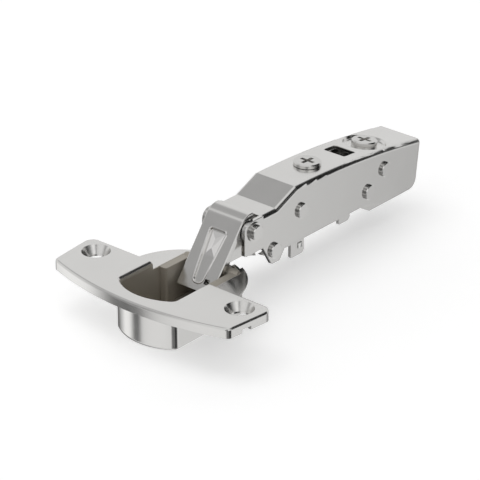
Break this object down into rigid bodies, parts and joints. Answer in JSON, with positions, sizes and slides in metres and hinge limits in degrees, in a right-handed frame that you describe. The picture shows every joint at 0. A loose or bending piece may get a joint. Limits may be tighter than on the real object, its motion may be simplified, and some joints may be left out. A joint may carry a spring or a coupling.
{
  "type": "concealed cup hinge",
  "caption": "Concealed cup hinge for furniture doors: flanged drilling cup, four-bar links and a cranked clip-on arm with two adjusting screws and a damper.",
  "frame": {"origin": "cup axis at the door face, the plane of the flange rim's underside", "axes": "+X along the line of the two door screws, +Y from the cup towards the arm, +Z away from the door"},
  "size_m": [0.066, 0.1178, 0.0293],
  "materials": {
    "plated_cup": "nickel-plated pressed steel, satin",
    "cradle_steel": "plated sheet steel",
    "plated_link": "nickel-plated sheet steel, satin",
    "plated_arm": "nickel-plated sheet steel, satin",
    "plated_channel": "nickel-plated sheet steel, satin",
    "rivet_steel": "nickel-plated turned steel",
    "screw_steel": "nickel-plated screw steel",
    "pin_steel": "bright steel",
    "zinc_casting": "die-cast zinc",
    "spring_steel": "spring wire",
    "black_plastic": "moulded, black",
    "roller_plastic": "moulded, natural",
    "damper_plastic": "moulded, dark grey"
  },
  "bodies": {
    "cup_unit": {"cup": "plated_cup", "axle_cradle": "cradle_steel", "outer_link_axle": "pin_steel", "inner_link_axle": "pin_steel", "axle_spacers": "pin_steel"},
    "outer_link_unit": {"outer_link": "plated_link"},
    "inner_link_unit": {"inner_link": "plated_link"},
    "arm_unit": {"hinge_arm": "plated_arm", "front_pivot_rivet": "rivet_steel", "pivot_washers": "rivet_steel", "inner_pivot_rivet": "rivet_steel", "arm_rivets": "rivet_steel", "spring_seat": "black_plastic", "closing_spring": "spring_steel", "damper_cylinder": "damper_plastic", "release_spring": "spring_steel"},
    "lever_unit": {"control_lever": "zinc_casting", "roller_pin": "pin_steel"},
    "roller_unit": {"lever_roller": "roller_plastic"},
    "plunger_unit": {"spring_plunger": "black_plastic"},
    "piston_unit": {"damper_piston": "pin_steel"},
    "side_screw_unit": {"side_screw": "screw_steel"},
    "channel_unit": {"adjusting_channel": "plated_channel"},
    "depth_screw_unit": {"depth_screw": "screw_steel"},
    "carriage_unit": {"clip_carriage": "plated_channel"},
    "release_unit": {"release_lever": "zinc_casting"}
  },
  "joints": [
    {"name": "door_swing", "type": "hinge", "parent": "cup_unit", "child": "outer_link_unit", "pos_m": [0, 0.01, -0.0045], "axis": [1, 0, 0], "range_deg": [-6, 108]},
    {"name": "inner_link_turn", "type": "hinge", "parent": "cup_unit", "child": "inner_link_unit", "pos_m": [0, 0.0134, -0.00085], "axis": [1, 0, 0], "range_deg": [-7.3, 131.3]},
    {"name": "arm_turn", "type": "hinge", "parent": "outer_link_unit", "child": "arm_unit", "pos_m": [0, 0.0222, 0.0091], "axis": [1, 0, 0], "range_deg": [-18, 1]},
    {"name": "lever_turn", "type": "hinge", "parent": "arm_unit", "child": "lever_unit", "pos_m": [0, 0.0422, 0.00825], "axis": [1, 0, 0], "range_deg": [-25.1, 1.4]},
    {"name": "roller_spin", "type": "hinge", "parent": "lever_unit", "child": "roller_unit", "pos_m": [0, 0.0369, 0.0082], "axis": [1, 0, 0], "continuous": true},
    {"name": "plunger_slide", "type": "slide", "parent": "arm_unit", "child": "plunger_unit", "axis": [0, 1, 0], "range_m": [-0.00244, 0.00014]},
    {"name": "piston_slide", "type": "slide", "parent": "arm_unit", "child": "piston_unit", "axis": [0, 1, 0], "range_m": [-0.00244, 0.00014]},
    {"name": "side_screw_turn", "type": "hinge", "parent": "arm_unit", "child": "side_screw_unit", "pos_m": [0, 0.0539, 0.01592], "axis": [0, 0.0416, 0.9991], "range_deg": [-361, 361]},
    {"name": "channel_tilt", "type": "hinge", "parent": "arm_unit", "child": "channel_unit", "pos_m": [0, 0.0723, 0.003], "axis": [1, 0, 0], "range_deg": [-2.4, 2.4]},
    {"name": "depth_screw_turn", "type": "hinge", "parent": "arm_unit", "child": "depth_screw_unit", "pos_m": [0, 0.0798, 0.01381], "axis": [0, 0.1204, 0.9927], "range_deg": [-60, 60]},
    {"name": "carriage_slide", "type": "slide", "parent": "channel_unit", "child": "carriage_unit", "axis": [0, 1, 0], "range_m": [-0.00141, 0.00141]},
    {"name": "release_press", "type": "hinge", "parent": "arm_unit", "child": "release_unit", "pos_m": [0, 0.0797, 0.0076], "axis": [1, 0, 0], "range_deg": [0, 8], "stiffness_Nm_per_rad": 0.05, "deforming": ["release_spring"]}
  ],
  "couplings": [
    {"joint": "inner_link_turn", "follows": "door_swing", "ratio": 1.215},
    {"joint": "arm_turn", "follows": "door_swing", "ratio": -0.1666},
    {"joint": "lever_turn", "follows": "door_swing", "ratio": -0.2315},
    {"joint": "plunger_slide", "follows": "door_swing", "m_per_rad": -0.001289},
    {"joint": "piston_slide", "follows": "door_swing", "m_per_rad": -0.001289},
    {"joint": "side_screw_turn", "follows": "channel_tilt", "ratio": 150},
    {"joint": "depth_screw_turn", "follows": "carriage_slide", "rad_per_m": 740.74}
  ]
}
